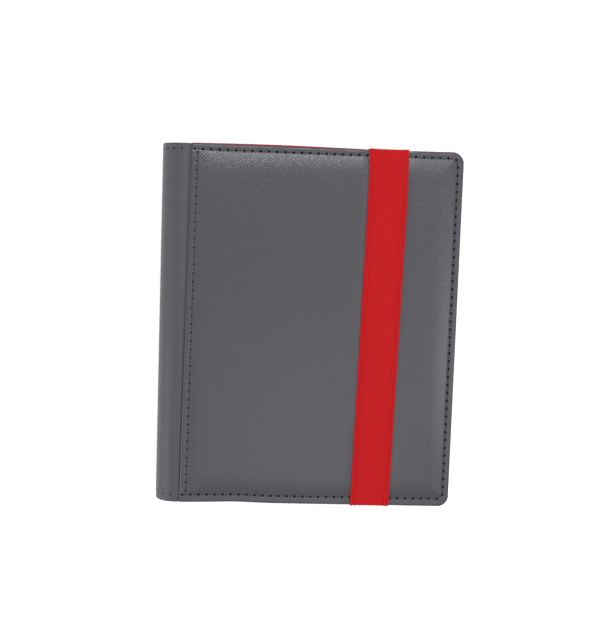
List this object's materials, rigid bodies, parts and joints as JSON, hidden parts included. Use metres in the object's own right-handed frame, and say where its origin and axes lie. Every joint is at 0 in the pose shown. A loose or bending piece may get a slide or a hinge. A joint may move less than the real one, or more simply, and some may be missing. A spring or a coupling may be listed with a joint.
{
  "type": "trading card binder",
  "caption": "Closed padded card binder with a rounded spine, side-loading pocket leaves and an elastic band that holds the covers shut.",
  "frame": {"origin": "middle of the closed binder's footprint, on the surface it lies on", "axes": "+Z out of the front cover, +Y towards the top edge, +X from the spine towards the fore-edge"},
  "size_m": [0.17, 0.2064, 0.0302],
  "materials": {
    "grey_leather": "grey synthetic leather, cross-grain print on the panels and smooth grain on the spine, low sheen",
    "dark_thread": "dark grey sewing thread",
    "foam": "thin padding foam, hidden",
    "board": "grey board stiffener, hidden",
    "red_lining": "red suede-like lining",
    "pocket_leaf": "black sheet with clear welded pocket film",
    "binding": "black woven binding tape",
    "red_elastic": "red ribbed woven elastic"
  },
  "bodies": {
    "back_cover": {"back_cover_skin": "grey_leather", "back_cover_foam": "foam", "back_cover_board": "board", "back_cover_lining": "red_lining", "back_cover_thread": "dark_thread", "back_seam_thread": "dark_thread", "back_hinge_strip": "grey_leather", "binding_strip_lower": "binding", "band_anchor_top": "red_elastic", "band_anchor_bottom": "red_elastic"},
    "spine": {"spine_skin": "grey_leather", "spine_stiffener": "board", "spine_lining": "red_lining"},
    "front_cover": {"front_cover_skin": "grey_leather", "front_cover_foam": "foam", "front_cover_board": "board", "front_cover_lining": "red_lining", "front_cover_thread": "dark_thread", "front_seam_thread": "dark_thread", "front_hinge_strip": "grey_leather"},
    "upper_binding": {"binding_strip_upper": "binding"},
    "band": {"elastic_band": "red_elastic"},
    "leaf_01_body": {"leaf_01": "pocket_leaf"},
    "leaf_02_body": {"leaf_02": "pocket_leaf"},
    "leaf_03_body": {"leaf_03": "pocket_leaf"},
    "leaf_04_body": {"leaf_04": "pocket_leaf"},
    "leaf_05_body": {"leaf_05": "pocket_leaf"},
    "leaf_06_body": {"leaf_06": "pocket_leaf"},
    "leaf_07_body": {"leaf_07": "pocket_leaf"},
    "leaf_08_body": {"leaf_08": "pocket_leaf"},
    "leaf_09_body": {"leaf_09": "pocket_leaf"},
    "leaf_10_body": {"leaf_10": "pocket_leaf"},
    "leaf_11_body": {"leaf_11": "pocket_leaf"},
    "leaf_12_body": {"leaf_12": "pocket_leaf"},
    "leaf_13_body": {"leaf_13": "pocket_leaf"},
    "leaf_14_body": {"leaf_14": "pocket_leaf"},
    "leaf_15_body": {"leaf_15": "pocket_leaf"},
    "leaf_16_body": {"leaf_16": "pocket_leaf"},
    "leaf_17_body": {"leaf_17": "pocket_leaf"},
    "leaf_18_body": {"leaf_18": "pocket_leaf"},
    "leaf_19_body": {"leaf_19": "pocket_leaf"},
    "leaf_20_body": {"leaf_20": "pocket_leaf"}
  },
  "joints": [
    {"name": "spine_hinge", "type": "hinge", "parent": "back_cover", "child": "spine", "pos_m": [-0.08149, 0, 0.00351], "axis": [0, -1, 0], "range_deg": [0, 90]},
    {"name": "cover_hinge", "type": "hinge", "parent": "spine", "child": "front_cover", "pos_m": [-0.08149, 0, 0.02553], "axis": [0, -1, 0], "range_deg": [0, 90.01]},
    {"name": "upper_binding_turn", "type": "hinge", "parent": "back_cover", "child": "upper_binding", "pos_m": [-0.077, 0, 0.01452], "axis": [0, -1, 0], "range_deg": [0, 180.01]},
    {"name": "leaf_01_turn", "type": "hinge", "parent": "back_cover", "child": "leaf_01_body", "pos_m": [-0.077, 0, 0.01452], "axis": [0, -1, 0], "range_deg": [0, 0.31]},
    {"name": "leaf_02_turn", "type": "hinge", "parent": "back_cover", "child": "leaf_02_body", "pos_m": [-0.077, 0, 0.01452], "axis": [0, -1, 0], "range_deg": [0, 0.61]},
    {"name": "leaf_03_turn", "type": "hinge", "parent": "back_cover", "child": "leaf_03_body", "pos_m": [-0.077, 0, 0.01452], "axis": [0, -1, 0], "range_deg": [0, 0.91]},
    {"name": "leaf_04_turn", "type": "hinge", "parent": "back_cover", "child": "leaf_04_body", "pos_m": [-0.077, 0, 0.01452], "axis": [0, -1, 0], "range_deg": [0, 1.21]},
    {"name": "leaf_05_turn", "type": "hinge", "parent": "back_cover", "child": "leaf_05_body", "pos_m": [-0.077, 0, 0.01452], "axis": [0, -1, 0], "range_deg": [0, 1.51]},
    {"name": "leaf_06_turn", "type": "hinge", "parent": "back_cover", "child": "leaf_06_body", "pos_m": [-0.077, 0, 0.01452], "axis": [0, -1, 0], "range_deg": [0, 1.81]},
    {"name": "leaf_07_turn", "type": "hinge", "parent": "back_cover", "child": "leaf_07_body", "pos_m": [-0.077, 0, 0.01452], "axis": [0, -1, 0], "range_deg": [0, 2.11]},
    {"name": "leaf_08_turn", "type": "hinge", "parent": "back_cover", "child": "leaf_08_body", "pos_m": [-0.077, 0, 0.01452], "axis": [0, -1, 0], "range_deg": [0, 2.41]},
    {"name": "leaf_09_turn", "type": "hinge", "parent": "back_cover", "child": "leaf_09_body", "pos_m": [-0.077, 0, 0.01452], "axis": [0, -1, 0], "range_deg": [0, 2.71]},
    {"name": "leaf_10_turn", "type": "hinge", "parent": "back_cover", "child": "leaf_10_body", "pos_m": [-0.077, 0, 0.01452], "axis": [0, -1, 0], "range_deg": [0, 3.01]},
    {"name": "leaf_11_turn", "type": "hinge", "parent": "back_cover", "child": "leaf_11_body", "pos_m": [-0.077, 0, 0.01452], "axis": [0, -1, 0], "range_deg": [0, 177.01]},
    {"name": "leaf_12_turn", "type": "hinge", "parent": "back_cover", "child": "leaf_12_body", "pos_m": [-0.077, 0, 0.01452], "axis": [0, -1, 0], "range_deg": [0, 177.31]},
    {"name": "leaf_13_turn", "type": "hinge", "parent": "back_cover", "child": "leaf_13_body", "pos_m": [-0.077, 0, 0.01452], "axis": [0, -1, 0], "range_deg": [0, 177.61]},
    {"name": "leaf_14_turn", "type": "hinge", "parent": "back_cover", "child": "leaf_14_body", "pos_m": [-0.077, 0, 0.01452], "axis": [0, -1, 0], "range_deg": [0, 177.91]},
    {"name": "leaf_15_turn", "type": "hinge", "parent": "back_cover", "child": "leaf_15_body", "pos_m": [-0.077, 0, 0.01452], "axis": [0, -1, 0], "range_deg": [0, 178.21]},
    {"name": "leaf_16_turn", "type": "hinge", "parent": "back_cover", "child": "leaf_16_body", "pos_m": [-0.077, 0, 0.01452], "axis": [0, -1, 0], "range_deg": [0, 178.51]},
    {"name": "leaf_17_turn", "type": "hinge", "parent": "back_cover", "child": "leaf_17_body", "pos_m": [-0.077, 0, 0.01452], "axis": [0, -1, 0], "range_deg": [0, 178.81]},
    {"name": "leaf_18_turn", "type": "hinge", "parent": "back_cover", "child": "leaf_18_body", "pos_m": [-0.077, 0, 0.01452], "axis": [0, -1, 0], "range_deg": [0, 179.11]},
    {"name": "leaf_19_turn", "type": "hinge", "parent": "back_cover", "child": "leaf_19_body", "pos_m": [-0.077, 0, 0.01452], "axis": [0, -1, 0], "range_deg": [0, 179.41]},
    {"name": "leaf_20_turn", "type": "hinge", "parent": "back_cover", "child": "leaf_20_body", "pos_m": [-0.077, 0, 0.01452], "axis": [0, -1, 0], "range_deg": [0, 179.71]},
    {"name": "band_swing", "type": "hinge", "parent": "back_cover", "child": "band", "pos_m": [0.0413, 0, 0.003], "axis": [0, 1, 0], "range_deg": [0, 180.01], "deforming": ["elastic_band"]}
  ],
  "couplings": [
    {"joint": "cover_hinge", "follows": "spine_hinge", "ratio": 1},
    {"joint": "upper_binding_turn", "follows": "spine_hinge", "ratio": 2},
    {"joint": "leaf_01_turn", "follows": "spine_hinge", "ratio": 0.003333},
    {"joint": "leaf_02_turn", "follows": "spine_hinge", "ratio": 0.006667},
    {"joint": "leaf_03_turn", "follows": "spine_hinge", "ratio": 0.01},
    {"joint": "leaf_04_turn", "follows": "spine_hinge", "ratio": 0.013333},
    {"joint": "leaf_05_turn", "follows": "spine_hinge", "ratio": 0.016667},
    {"joint": "leaf_06_turn", "follows": "spine_hinge", "ratio": 0.02},
    {"joint": "leaf_07_turn", "follows": "spine_hinge", "ratio": 0.023333},
    {"joint": "leaf_08_turn", "follows": "spine_hinge", "ratio": 0.026667},
    {"joint": "leaf_09_turn", "follows": "spine_hinge", "ratio": 0.03},
    {"joint": "leaf_10_turn", "follows": "spine_hinge", "ratio": 0.033333},
    {"joint": "leaf_11_turn", "follows": "spine_hinge", "ratio": 1.9667},
    {"joint": "leaf_12_turn", "follows": "spine_hinge", "ratio": 1.97},
    {"joint": "leaf_13_turn", "follows": "spine_hinge", "ratio": 1.9733},
    {"joint": "leaf_14_turn", "follows": "spine_hinge", "ratio": 1.9767},
    {"joint": "leaf_15_turn", "follows": "spine_hinge", "ratio": 1.98},
    {"joint": "leaf_16_turn", "follows": "spine_hinge", "ratio": 1.9833},
    {"joint": "leaf_17_turn", "follows": "spine_hinge", "ratio": 1.9867},
    {"joint": "leaf_18_turn", "follows": "spine_hinge", "ratio": 1.99},
    {"joint": "leaf_19_turn", "follows": "spine_hinge", "ratio": 1.9933},
    {"joint": "leaf_20_turn", "follows": "spine_hinge", "ratio": 1.9967},
    {"joint": "band_swing", "follows": "spine_hinge", "ratio": 2}
  ]
}
